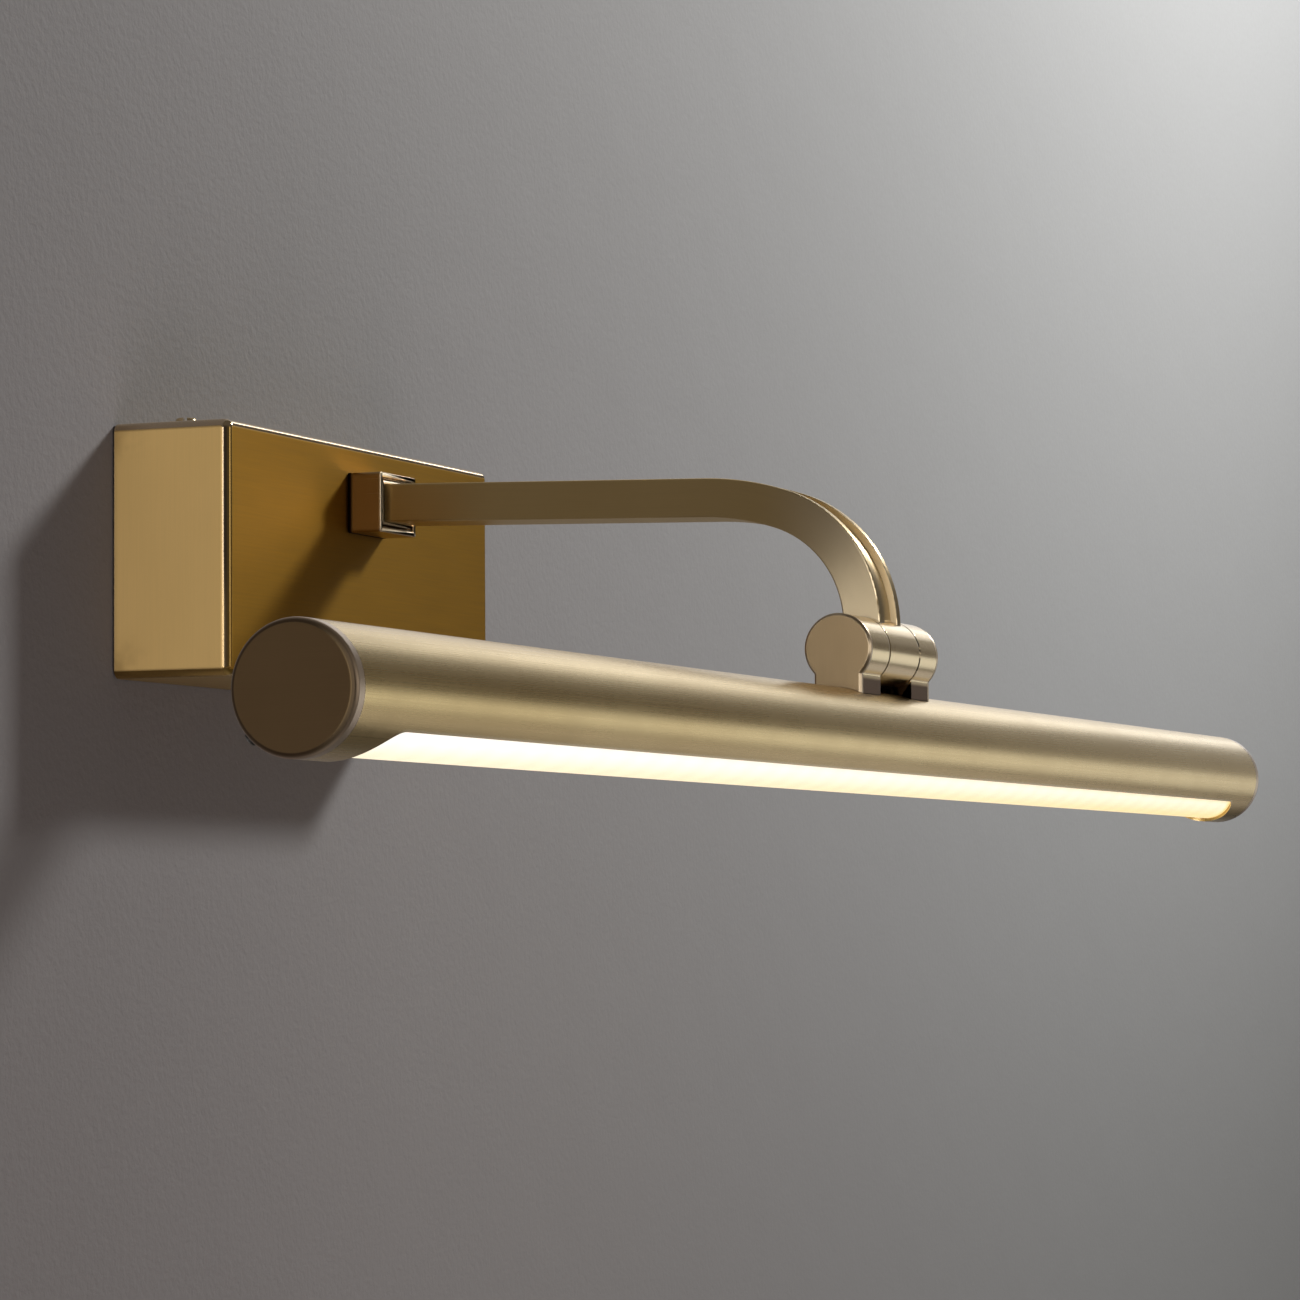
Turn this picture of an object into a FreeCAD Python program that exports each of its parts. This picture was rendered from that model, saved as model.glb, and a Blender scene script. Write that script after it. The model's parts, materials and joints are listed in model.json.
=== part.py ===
import FreeCAD, Part
import math
import os

# Picture light: a wall box, a curved arm and a tilting tubular LED head.
# Frame: millimetres, +Z up. The origin is the centre of the wall box on the
# wall's surface; the wall is the plane Y = 0 and the room is towards -Y.
# The head lies along X. Everything is symmetric about X = 0 except the wiring.

V = FreeCAD.Vector
AXIS_Y = V(0, 1, 0)
AXIS_Z = V(0, 0, 1)

# ---------------------------------------------------------------- dimensions
# Wall box: a folded sheet cover over a steel wall plate.
box_width = 162.5
box_height = 67.0
box_depth = 34.0
box_sheet = 1.5
box_bend = 2.4          # outer radius of the folded edges
wall_gap = 0.3          # the cover's rear edge stands this far off the wall

plate_width = 150.0
plate_height = 63.0
plate_sheet = 2.0
ear_width = 14.0
ear_reach = 21.0        # how far the folded ears stand out from the wall
ear_corner = 3.0
cover_screw_x = 68.0
cover_screw_y = -14.5
cover_slot_turn = 22.0  # degrees that the slots are turned out of line
wall_hole_d = 5.0
wall_hole_x = 70.0
wall_hole_z = 18.0

# Collar on the box front, and the bevelled liner between it and the arm.
collar_width = 22.3
collar_height = 16.4
collar_reach = 9.9
collar_z = 17.0
collar_wall = 1.4
liner_depth = 4.5       # depth of the groove behind the collar's rim
liner_lip = 0.8         # thickness of the lip that stands round the arm
lip_setback = 0.3       # the lip ends just behind the collar's rim

# Arm: a bar with a wiring groove in its outer face, closed by an inset strip.
arm_width = 16.4
arm_thick = 10.4
arm_edge = 0.5          # rounding of the bar's long outer edges
lip_edge = 0.2          # rounding of the edges of the recess
ledge_root = 0.05       # the strip's ledges have nearly sharp inner corners
arm_start = V(0, -24.0, 17.4)
arm_fall = 1.5          # degrees below level
arm_run = 113.3         # straight length before the bends
gentle_radius = 74.0
gentle_turn = 17.0
tight_radius = 33.0
recess_width = 10.4
recess_depth = 1.8
strip_thick = 1.2
strip_gap = 0.1         # clearance on each side of the strip
groove_width = 8.0
groove_depth = 4.4
neck_width = 12.4       # between the two side slots that the retainer enters
lead_d = 3.0

# Parts that hold the arm's root inside the box.
stiffener_x = 30.0
stiffener_z = (3.5, 30.5)
stiffener_sheet = 3.0
retainer_x = 15.0
retainer_z = (8.0, 28.5)
retainer_sheet = 2.0

# Hinge: three knuckles on a hollow pin.
hinge_z = -27.8
knuckle_d = 18.3
knuckle_width = 23.2
washer_thick = 0.3
washer_gap = 0.2
foot_width = 12.9       # across the straight foot of the keyhole outline
foot_blend = 0.8
foot_block = 13.3       # length of each outer knuckle along X
cheek_thick = 1.5       # flat plate on the outer knuckle's end
cheek_bevel = 0.6
pin_d = 10.0
pin_bore = 7.0
pin_fit = 0.05          # radial running clearance
pin_left = -24.0
pin_right = 19.0
lead_x = 22.0           # where the lead drops through the right foot

# Head: the tube, its caps and what is inside it.
tube_d = 28.0
tube_wall = 1.0
tube_drop = 24.1        # from the hinge axis down to the tube's axis
head_length = 675.0
cap_face = 4.0
cap_edge = 1.5
cap_seam = 0.15         # bevel that shows as a fine seam against the tube
cap_spigot = 8.0
window_half = 321.0     # half length of the window, over its round ends
window_width = 23.0
lens_half = 324.5
lens_angle = 72.0       # half angle of the lens about straight down
lens_corner = 1.5
lens_thick = 1.2
carrier_half = 320.0
rail_inner = 9.0        # half width between the carrier's side rails
board_half = 300.0
board_width = 12.0
board_thick = 1.0
chip_pitch = 15.0
chip_count = 39
grub_angle = 36.0       # grub screws, below level on the wall side
grub_stand = 2.5        # how far the grub screws stand out of the tube

# Electrical parts in the wall box.
driver_x = (-34.0, 54.0)
driver_z = (-28.0, 2.0)
driver_height = 21.0
terminal_x = (-60.0, -30.0)
terminal_z = (8.0, 26.0)
terminal_pitch = 10.0
wire_d = 2.0
wire_y = -6.5
bushing_bore = 9.0
bushing_centre = V(-10.0, 0, 15.0)
earth_x = 50.0
earth_z = 12.0

# ------------------------------------------------------------ derived places
box_front = -box_depth
inner_front = box_front + box_sheet
inner_half_height = box_height / 2 - box_sheet
half_tube = tube_d / 2
bore_radius = half_tube - tube_wall
half_shell = head_length / 2 - cap_face


# ------------------------------------------------------------------- helpers
def block(x, y, z):
    """Box from three (low, high) pairs."""
    low = V(min(x), min(y), min(z))
    return Part.makeBox(abs(x[1] - x[0]), abs(y[1] - y[0]), abs(z[1] - z[0]), low)


def rod(radius, start, end):
    """Solid cylinder between two points."""
    along = end - start
    return Part.makeCylinder(radius, along.Length, start, along)


def ring(outer, inner, start, end):
    """Hollow cylinder between two points."""
    return rod(outer, start, end).cut(rod(inner, start, end))


def rounded_edges(points, radii):
    """Edges of a polyline whose inner corners are tangent arcs."""
    edges = []
    start = points[0]
    for before, corner, after, radius in zip(points, points[1:], points[2:], radii):
        back = (before - corner).normalize()
        ahead = (after - corner).normalize()
        half_turn = (math.pi - back.getAngle(ahead)) / 2
        reach = radius * math.tan(half_turn)
        first = corner + back * reach
        last = corner + ahead * reach
        inward = (back + ahead).normalize()
        middle = corner + inward * (radius / math.cos(half_turn) - radius)
        if (first - start).Length > 0.001:      # two arcs may meet with no straight between
            edges.append(Part.LineSegment(start, first).toShape())
        else:
            first = start
        edges.append(Part.Arc(first, middle, last).toShape())
        start = last
    edges.append(Part.LineSegment(start, points[-1]).toShape())
    return edges


def edges_at_x(shape, x):
    """Edges that lie in the plane at `x`."""
    return [edge for edge in shape.Edges
            if abs(edge.BoundBox.XMin - x) < 0.01 and abs(edge.BoundBox.XMax - x) < 0.01]


def wire_solid(points, radii, diameter):
    """Round wire along straight runs joined by tangent arcs."""
    path = Part.Wire(rounded_edges(points, radii))
    ends = Part.makeCircle(diameter / 2, points[0], points[1] - points[0])
    solid = path.makePipeShell([Part.Wire(ends)], True, False)
    expected = math.pi * diameter ** 2 / 4 * path.Length
    print(f"wire: radii {radii}, volume {solid.Volume:.1f}, section x length {expected:.1f}")
    return solid


def hexagon(across_flats, height):
    """Upright hexagonal prism on the XY plane."""
    corner = across_flats / math.sqrt(3)
    points = []
    for step in range(7):
        angle = math.radians(60 * step)
        points.append(V(corner * math.cos(angle), corner * math.sin(angle), 0))
    return Part.Face(Part.makePolygon(points)).extrude(V(0, 0, height))


def hex_nut(centre, axis, across_flats, height, hole):
    """Plain hexagon nut that stands on `centre` and grows along `axis`."""
    nut = hexagon(across_flats, height).cut(Part.makeCylinder(hole / 2, height))
    nut.Placement = FreeCAD.Placement(centre, FreeCAD.Rotation(AXIS_Z, axis))
    return nut


def slotted_screw(seat, out, size, length, head_d, head_height, slot_turn=0.0):
    """Slotted pan-head screw: the head stands on `seat` and faces `out`."""
    head = Part.makeCylinder(head_d / 2, head_height)
    rim = [edge for edge in head.Edges if edge.BoundBox.ZMin > head_height - 0.01]
    head = head.makeFillet(head_height * 0.45, rim)
    shank = Part.makeCylinder(size / 2, length, V(0, 0, -length))
    shank = shank.makeChamfer(size * 0.12, [shank.Edges[-1]])
    slot_width = head_d * 0.18
    slot = Part.makeBox(head_d, slot_width, head_height * 0.5,
                        V(-head_d / 2, -slot_width / 2, head_height * 0.5))
    slot.rotate(V(0, 0, 0), AXIS_Z, slot_turn)
    screw = head.fuse(shank).removeSplitter().cut(slot)
    screw.Placement = FreeCAD.Placement(seat, FreeCAD.Rotation(AXIS_Z, out))
    return screw


def socket_screw(tip, out, size, length):
    """Headless grub screw from `tip` outwards, with a hexagon socket."""
    socket = hexagon(size * 0.5, length)
    socket.translate(V(0, 0, length * 0.55))
    body = Part.makeCylinder(size / 2, length).cut(socket)
    body.Placement = FreeCAD.Placement(tip, FreeCAD.Rotation(AXIS_Z, out))
    return body


# ------------------------------------------------------------ arm centreline
def arm_heading(degrees_below_level):
    """Direction of travel along the arm, out from the wall."""
    angle = math.radians(degrees_below_level)
    return V(0, -math.cos(angle), -math.sin(angle))


def arm_outward(degrees_below_level):
    """Normal of the arm's outer face at a given heading."""
    angle = math.radians(degrees_below_level)
    return V(0, -math.sin(angle), math.cos(angle))


def arm_corners():
    """Start, the two bend corners and the hinge centre, in order."""
    gentle_reach = gentle_radius * math.tan(math.radians(gentle_turn / 2))
    tight_turn = 90.0 - arm_fall - gentle_turn
    tight_reach = tight_radius * math.tan(math.radians(tight_turn / 2))
    first = arm_start + arm_heading(arm_fall) * (arm_run + gentle_reach)
    second = first + arm_heading(arm_fall + gentle_turn) * (gentle_reach + tight_reach)
    hinge = V(0, second.y, hinge_z)
    return [arm_start, first, second, hinge]


def arm_outline(offset):
    """Arm centreline moved by `offset` towards the outer face, as edges."""
    start, first, second, hinge = arm_corners()
    tight_turn = 90.0 - arm_fall - gentle_turn
    middle_1 = arm_outward(arm_fall + gentle_turn / 2)
    middle_2 = arm_outward(arm_fall + gentle_turn + tight_turn / 2)
    points = [
        start + arm_outward(arm_fall) * offset,
        first + middle_1 * (offset / math.cos(math.radians(gentle_turn / 2))),
        second + middle_2 * (offset / math.cos(math.radians(tight_turn / 2))),
        hinge + arm_outward(90.0) * offset,
    ]
    return rounded_edges(points, [gentle_radius + offset, tight_radius + offset])


def arm_band(low, high, width):
    """Solid that follows the arm between two offsets, `width` wide in X."""
    outer = arm_outline(high)
    inner = arm_outline(low)
    ends = [
        Part.LineSegment(outer[0].Vertexes[0].Point, inner[0].Vertexes[0].Point).toShape(),
        Part.LineSegment(outer[-1].Vertexes[1].Point, inner[-1].Vertexes[1].Point).toShape(),
    ]
    side = Part.Face(Part.Wire(Part.__sortEdges__(outer + inner + ends)))
    side.translate(V(-width / 2, 0, 0))
    return side.extrude(V(width, 0, 0))


hinge_centre = arm_corners()[3]
tube_centre = hinge_centre - V(0, 0, tube_drop)


def at_hinge(x, y=0.0, z=0.0):
    """Point given from the hinge centre."""
    return hinge_centre + V(x, y, z)


def at_tube(x, y=0.0, z=0.0):
    """Point given from the tube's centre."""
    return tube_centre + V(x, y, z)


def knuckle_cylinder(x0, x1, radius=knuckle_d / 2):
    return rod(radius, at_hinge(x0), at_hinge(x1))


# ------------------------------------------------------------------ wall box
def cover_screw_places():
    """Seat points of the two screws that hold the cover from above."""
    return [V(side * cover_screw_x, cover_screw_y, box_height / 2) for side in (-1, 1)]


def wall_plate():
    """Flat plate with four folded ears; only the upper two take screws."""
    half_w = plate_width / 2
    half_h = plate_height / 2
    plate = block((-half_w, half_w), (-plate_sheet, 0), (-half_h, half_h))
    for side in (-1, 1):
        for up in (-1, 1):
            middle = side * cover_screw_x
            x_range = (middle - ear_width / 2, middle + ear_width / 2)
            outer = up * half_h
            ear = block(x_range, (-ear_reach, 0), (outer - up * plate_sheet, outer))
            tips = [edge for edge in ear.Edges
                    if edge.BoundBox.YMax < 0.1 - ear_reach and edge.BoundBox.ZLength > 1]
            plate = plate.fuse(ear.makeFillet(ear_corner, tips))
            plate = plate.cut(rod(wall_hole_d / 2, V(side * wall_hole_x, 1, up * wall_hole_z),
                                  V(side * wall_hole_x, -9, up * wall_hole_z)))
    plate = plate.removeSplitter()
    for seat in cover_screw_places():
        plate = plate.cut(rod(1.5, seat, seat - AXIS_Z * 9))
    plate = plate.cut(rod(8.0, bushing_centre + V(0, 1, 0), bushing_centre - V(0, 9, 0)))
    for x in driver_screw_x():
        plate = plate.cut(rod(1.5, V(x, 1, driver_mid_z()), V(x, -9, driver_mid_z())))
    return plate


def ear_nuts():
    height = 2.4
    nuts = []
    for seat in cover_screw_places():
        face = V(seat.x, seat.y, plate_height / 2 - plate_sheet)
        nuts.append(hex_nut(face, AXIS_Z * -1, 5.5, height, 3.0))
    return Part.makeCompound(nuts)


def arm_envelope():
    """The arm's full outer section, used to open the parts that it passes."""
    return arm_band(-arm_thick / 2, arm_thick / 2, arm_width)


def box_cover():
    half_w = box_width / 2
    half_h = box_height / 2
    outer = block((-half_w, half_w), (box_front, -wall_gap), (-half_h, half_h))
    folds = [edge for edge in outer.Edges if edge.BoundBox.YMin < 0.1 + box_front]
    outer = outer.makeFillet(box_bend, folds)
    inner = block((box_sheet - half_w, half_w - box_sheet), (inner_front, 0),
                  (-inner_half_height, inner_half_height))
    folds = [edge for edge in inner.Edges if edge.BoundBox.YMin < 0.1 + inner_front]
    inner = inner.makeFillet(box_bend - box_sheet, folds)
    cover = outer.cut(inner)
    for seat in cover_screw_places():
        cover = cover.cut(rod(1.7, seat + AXIS_Z, seat - AXIS_Z * 4))
    return cover.cut(arm_envelope())


def cover_screws():
    screws = []
    for seat in cover_screw_places():
        screws.append(slotted_screw(seat, AXIS_Z, 2.9, 8.0, 5.6, 2.0, cover_slot_turn))
    return Part.makeCompound(screws)


# ------------------------------------------------------- collar and arm root
def collar_frame(inset, y0, y1):
    """Rectangular prism of the collar's outline, drawn in by `inset`."""
    half_w = collar_width / 2 - inset
    half_h = collar_height / 2 - inset
    return block((-half_w, half_w), (y0, y1), (collar_z - half_h, collar_z + half_h))


def collar():
    front = box_front - collar_reach
    frame = collar_frame(0, front, box_front)
    corners = [edge for edge in frame.Edges if edge.BoundBox.YLength > 1]
    frame = frame.makeFillet(0.5, corners)
    frame = frame.cut(collar_frame(collar_wall, front - 1, box_front))
    rim = [edge for edge in frame.Edges if edge.BoundBox.YMax < 0.01 + front]
    return frame.makeChamfer(0.25, rim)


def collar_liner():
    """Insert in the collar: a mitred groove round a thin lip that hugs the arm."""
    front = box_front - collar_reach
    body = collar_frame(collar_wall, front + 1.0, box_front)
    gap_w = collar_width / 2 - collar_wall
    gap_h = collar_height / 2 - collar_wall
    mouth = collar_rectangle(gap_w - 0.2, gap_h - 0.2, front + 0.9)
    lip_w = arm_width / 2 + liner_lip
    lip_h = arm_thick / 2 + liner_lip
    throat = collar_rectangle(lip_w, lip_h, front + liner_depth)
    groove = Part.makeLoft([mouth, throat], True, True)
    lip = block((-lip_w, lip_w), (front + lip_setback, front + liner_depth),
                (collar_z - lip_h, collar_z + lip_h))
    return body.cut(groove).fuse(lip).removeSplitter().cut(arm_envelope())


def collar_rectangle(half_w, half_h, y):
    """Upright rectangle about the collar's centre, as a closed wire."""
    corners = [(-1, -1), (1, -1), (1, 1), (-1, 1), (-1, -1)]
    return Part.makePolygon([V(u * half_w, y, collar_z + v * half_h) for u, v in corners])


def stud_places():
    places = []
    for x in (-25.0, 25.0):
        for z in (8.0, 26.0):
            places.append(V(x, inner_front, z))
    return places


def stiffener_plate():
    rear = inner_front + stiffener_sheet
    plate = block((-stiffener_x, stiffener_x), (inner_front, rear), stiffener_z)
    for place in stud_places():
        plate = plate.cut(rod(1.6, place, place + V(0, 9, 0)))
    for place in retainer_screw_places():
        plate = plate.cut(rod(1.25, place, place - V(0, 9, 0)))
    return plate.cut(arm_envelope())


def stiffener_studs():
    return Part.makeCompound([rod(1.5, place, place + V(0, 8.5, 0)) for place in stud_places()])


def stiffener_nuts():
    seat = V(0, stiffener_sheet, 0)
    return Part.makeCompound([hex_nut(place + seat, AXIS_Y, 5.5, 2.4, 3.0) for place in stud_places()])


def retainer_screw_places():
    y = inner_front + stiffener_sheet + retainer_sheet
    return [V(-11.0, y, 25.5), V(11.0, y, 25.5)]


def arm_retainer():
    """Fork that drops into the two side slots of the arm's root."""
    front = inner_front + stiffener_sheet
    fork = block((-retainer_x, retainer_x), (front, front + retainer_sheet), retainer_z)
    fork = fork.cut(block((-neck_width / 2, neck_width / 2), (front, front + retainer_sheet),
                          (retainer_z[0], arm_start.z + arm_thick / 2 + 0.1)))
    for place in retainer_screw_places():
        fork = fork.cut(rod(1.6, place, place - V(0, 9, 0)))
    return fork


def retainer_screws():
    screws = [slotted_screw(place, AXIS_Y, 2.5, 5.0, 5.0, 1.8) for place in retainer_screw_places()]
    return Part.makeCompound(screws)


# ----------------------------------------------------------------------- arm
def arm_section():
    """Channel section across the bar: lips, ledges for the strip, and groove."""
    half = arm_width / 2
    top = arm_thick / 2
    bed = top - recess_depth - strip_thick
    lip = recess_width / 2
    groove = groove_width / 2
    side = [(half, -top), (half, top), (lip, top), (lip, bed), (groove, bed), (groove, bed - groove_depth)]
    radii = [arm_edge, arm_edge, lip_edge, ledge_root, lip_edge, lip_edge]
    corners = [(0, -top)] + side + [(-x, offset) for x, offset in reversed(side)] + [(0, -top)]
    outward = arm_outward(arm_fall)
    points = [arm_start + V(x, 0, 0) + outward * offset for x, offset in corners]
    return Part.Wire(rounded_edges(points, radii + radii[::-1]))


def arm_channel():
    bar = Part.Wire(arm_outline(0)).makePipeShell([arm_section()], True, False)
    slot_y = inner_front + stiffener_sheet
    for side in (-1, 1):
        bar = bar.cut(block((side * neck_width / 2, side * arm_width), (slot_y, slot_y + retainer_sheet),
                            (0, 40)))
    return bar.cut(knuckle_cylinder(-20, 20))


def arm_cover_strip():
    """Inset strip that lies on the ledges of the groove."""
    top = arm_thick / 2 - recess_depth
    strip = arm_band(top - strip_thick, top, recess_width - 2 * strip_gap)
    return strip.cut(knuckle_cylinder(-20, 20))


def arm_lead():
    """Two-core lead: driver, arm groove, then the hollow hinge pin."""
    start, first, second, hinge = arm_corners()
    behind_root = V(0, -17.0, arm_start.z)
    points = [
        V(driver_x[1], -17.0, -8.0),
        V(68.0, -17.0, -8.0),
        V(68.0, -17.0, arm_start.z),
        behind_root,
        first,
        second,
        hinge,
        hinge + V(13.8, 0, 0),
    ]
    return wire_solid(points, [9.0, 9.0, 6.0, gentle_radius, tight_radius, 3.5], lead_d)


# --------------------------------------------------------------------- hinge
def arm_knuckle():
    half = knuckle_width / 2
    barrel = knuckle_cylinder(-half, half)
    barrel = barrel.makeChamfer(0.3, [edge for edge in barrel.Edges if edge.BoundBox.XLength < 0.01])
    barrel = barrel.cut(knuckle_cylinder(-half, half, pin_d / 2))
    barrel = barrel.cut(rod(2.5, at_hinge(0), at_hinge(0, 0, knuckle_d)))
    return barrel.cut(rod(1.5, at_hinge(0), at_hinge(0, 0, -knuckle_d)))


def knuckle_set_screw():
    return socket_screw(at_hinge(0, 0, -pin_d / 2), V(0, 0, -1), 3.0, 3.6)


def hinge_pin():
    pin = ring(pin_d / 2, pin_bore / 2, at_hinge(pin_left), at_hinge(pin_right))
    return pin.cut(rod(2.5, at_hinge(0), at_hinge(0, 0, pin_d)))


def friction_washers():
    half = knuckle_width / 2
    washers = []
    for side in (-1, 1):
        washers.append(ring(8.5, pin_d / 2, at_hinge(side * half), at_hinge(side * (half + washer_thick))))
    return Part.makeCompound(washers)


def keyhole_face(x):
    """Outline of an outer knuckle: a round head on a narrower straight foot."""
    radius = knuckle_d / 2
    half = foot_width / 2
    blend_y = half + foot_blend
    blend_z = -math.sqrt((radius + foot_blend) ** 2 - blend_y ** 2)
    shrink = radius / (radius + foot_blend)
    bottom = -tube_drop

    def arc(middle, side):
        head_end = at_hinge(x, side * blend_y * shrink, blend_z * shrink)
        foot_end = at_hinge(x, side * half, blend_z)
        return Part.Arc(head_end, middle, foot_end).toShape()

    def blend_middle(side):
        to_head = V(0, -side * blend_y, -blend_z).normalize()
        toward = (to_head + V(0, -side, 0)).normalize()
        return at_hinge(x, side * blend_y, blend_z) + toward * foot_blend

    head = Part.Arc(at_hinge(x, -blend_y * shrink, blend_z * shrink), at_hinge(x, 0, radius),
                    at_hinge(x, blend_y * shrink, blend_z * shrink)).toShape()
    left = Part.LineSegment(at_hinge(x, -half, blend_z), at_hinge(x, -half, bottom)).toShape()
    base = Part.LineSegment(at_hinge(x, -half, bottom), at_hinge(x, half, bottom)).toShape()
    right = Part.LineSegment(at_hinge(x, half, bottom), at_hinge(x, half, blend_z)).toShape()
    edges = [head, arc(blend_middle(1), 1), right, base, left, arc(blend_middle(-1), -1)]
    return Part.Face(Part.Wire(Part.__sortEdges__(edges)))


def tube_envelope():
    return rod(half_tube, at_tube(-head_length / 2), at_tube(head_length / 2))


def foot(side):
    """Outer knuckle and its foot; side is -1 for the left and 1 for the right."""
    inner = side * (knuckle_width / 2 + washer_thick + washer_gap)
    shape = keyhole_face(inner).extrude(V(side * foot_block, 0, 0)).cut(tube_envelope())
    outer = inner + side * foot_block
    shape = shape.cut(knuckle_cylinder(inner, outer, pin_d / 2 + pin_fit))
    for x in foot_screw_x(side):
        shape = shape.cut(rod(1.25, at_tube(x), at_tube(x, 0, tube_drop - 6.0)))
    if side > 0:
        shape = shape.cut(knuckle_cylinder(pin_right + 0.3, outer, 6.0))
        shape = shape.cut(rod(2.5, at_hinge(lead_x), at_tube(lead_x)))
    return shape


def foot_left():
    return foot(-1)


def foot_right():
    return foot(1)


def hinge_cheek(side):
    """Flat keyhole plate that closes the end of an outer knuckle."""
    inner = side * (knuckle_width / 2 + washer_thick + washer_gap + foot_block)
    cheek = keyhole_face(inner).extrude(V(side * cheek_thick, 0, 0))
    rim = edges_at_x(cheek, inner + side * cheek_thick)
    return cheek.makeChamfer(cheek_bevel, rim).cut(tube_envelope())


def hinge_cheek_left():
    return hinge_cheek(-1)


def hinge_cheek_right():
    return hinge_cheek(1)


def foot_screw_x(side):
    """The right foot has one screw, because the lead takes the other place."""
    return [15.5] if side > 0 else [-22.0, -15.5]


def foot_screws():
    screws = []
    for x in foot_screw_x(-1) + foot_screw_x(1):
        screws.append(slotted_screw(at_tube(x, 0, bore_radius - 0.3), V(0, 0, -1), 2.5, 5.0, 4.6, 1.8))
    return Part.makeCompound(screws)


# ---------------------------------------------------------------------- head
def window_slot():
    """Upright prism with round ends that cuts the window from below."""
    half_w = window_width / 2
    straight = window_half - half_w
    low, high = tube_centre.z - 2 * half_tube, tube_centre.z
    slot = block((-straight, straight), (tube_centre.y - half_w, tube_centre.y + half_w), (low, high))
    for x in (-straight, straight):
        slot = slot.fuse(rod(half_w, V(x, tube_centre.y, low), V(x, tube_centre.y, high)))
    return slot


def wedge(half_angle, half_length, corner):
    """Prism about the tube's axis that spans an angle about straight down."""
    reach = half_tube * 2
    spread = math.radians(half_angle)
    left = at_tube(-half_length, -reach * math.sin(spread), -reach * math.cos(spread))
    right = at_tube(-half_length, reach * math.sin(spread), -reach * math.cos(spread))
    low = at_tube(-half_length, 0, -reach)
    outline = Part.makePolygon([at_tube(-half_length), left, low - V(0, reach, 0), low + V(0, reach, 0),
                                right, at_tube(-half_length)])
    prism = Part.Face(outline).extrude(V(2 * half_length, 0, 0))
    radial = [edge for edge in prism.Edges
              if edge.BoundBox.XLength < 0.01 and edge.BoundBox.ZMax > tube_centre.z - 0.01]
    return prism.makeFillet(corner, radial)


def tube_housing():
    tube = ring(half_tube, bore_radius, at_tube(-half_shell), at_tube(half_shell))
    tube = tube.cut(window_slot())
    for x in foot_screw_x(-1) + foot_screw_x(1):
        tube = tube.cut(rod(1.5, at_tube(x), at_tube(x, 0, half_tube + 1)))
    tube = tube.cut(rod(2.5, at_tube(lead_x), at_tube(lead_x, 0, half_tube + 1)))
    for tip, out in grub_places():
        tube = tube.cut(rod(1.6, tip, tip + out * 9))
    return tube


def grub_places():
    """Inner tip and outward direction of the two cap screws."""
    angle = math.radians(grub_angle)
    out = V(0, math.cos(angle), -math.sin(angle))
    x = half_shell - cap_spigot / 2
    return [(at_tube(side * x) + out * (bore_radius - 3.0), out) for side in (-1, 1)]


def end_cap(side):
    """Flat cap with a rounded rim, and a spigot inside the tube."""
    face = side * head_length / 2
    seat = side * half_shell
    disc = rod(half_tube, at_tube(seat), at_tube(face))
    disc = disc.makeFillet(cap_edge, edges_at_x(disc, face))
    disc = disc.makeChamfer(cap_seam, edges_at_x(disc, seat))
    spigot = ring(bore_radius - 0.05, bore_radius - 3.0, at_tube(seat - side * cap_spigot), at_tube(seat))
    cap = disc.fuse(spigot)
    for tip, out in grub_places():
        if tip.x * side > 0:
            cap = cap.cut(rod(1.5, tip - out, tip + out * 9))
    return cap


def end_cap_left():
    return end_cap(-1)


def end_cap_right():
    return end_cap(1)


def cap_grub_screws():
    length = half_tube + grub_stand - (bore_radius - 3.0)
    return Part.makeCompound([socket_screw(tip, out, 3.0, length) for tip, out in grub_places()])


def diffuser():
    """Frosted lens: a curved strip inside the tube, behind the window."""
    outer = bore_radius - 0.1
    lens = ring(outer, outer - lens_thick, at_tube(-lens_half), at_tube(lens_half))
    return lens.common(wedge(lens_angle, lens_half, lens_corner))


def board_screw_x():
    return [-277.5, -97.5, 97.5, 277.5]


def led_carrier():
    """Aluminium section behind the LEDs: a flat floor between two side rails."""
    floor_low = tube_centre.z + 2.0
    floor_high = floor_low + 2.0
    y_mid = tube_centre.y
    body = rod(bore_radius - 0.15, at_tube(-carrier_half), at_tube(carrier_half))
    body = body.common(block((-carrier_half, carrier_half), (y_mid - 14, y_mid + 14),
                             (floor_low, floor_low + 20)))
    body = body.cut(block((-carrier_half, carrier_half), (y_mid - rail_inner, y_mid + rail_inner),
                          (floor_high, floor_high + 20)))
    for x in board_screw_x():
        body = body.cut(rod(1.0, at_tube(x), at_tube(x, 0, 9)))
    return body


def led_board():
    top = tube_centre.z + 2.0
    y_mid = tube_centre.y
    board = block((-board_half, board_half), (y_mid - board_width / 2, y_mid + board_width / 2),
                  (top - board_thick, top))
    for x in board_screw_x():
        board = board.cut(rod(1.1, at_tube(x), at_tube(x, 0, 9)))
    return board


def led_chips():
    face = tube_centre.z + 2.0 - board_thick
    y_mid = tube_centre.y
    chips = []
    for index in range(chip_count):
        x = (index - (chip_count - 1) / 2) * chip_pitch
        chips.append(block((x - 1.75, x + 1.75), (y_mid - 1.4, y_mid + 1.4), (face - 0.8, face)))
    return Part.makeCompound(chips)


def board_screws():
    down = V(0, 0, -1)
    seat_z = 2.0 - board_thick
    return Part.makeCompound([slotted_screw(at_tube(x, 0, seat_z), down, 2.0, 3.0, 4.0, 1.4)
                              for x in board_screw_x()])


def board_connector():
    y_mid = tube_centre.y
    base = tube_centre.z + 4.0
    body = block((50, 64), (y_mid - 5, y_mid + 5), (base, base + 7))
    body = body.makeChamfer(0.6, [edge for edge in body.Edges if edge.BoundBox.ZMin > base + 6.9])
    for y in (y_mid - 2.5, y_mid + 2.5):
        body = body.cut(rod(1.1, V(60, y, base + 4), V(60, y, base + 9)))
    return body


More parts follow.
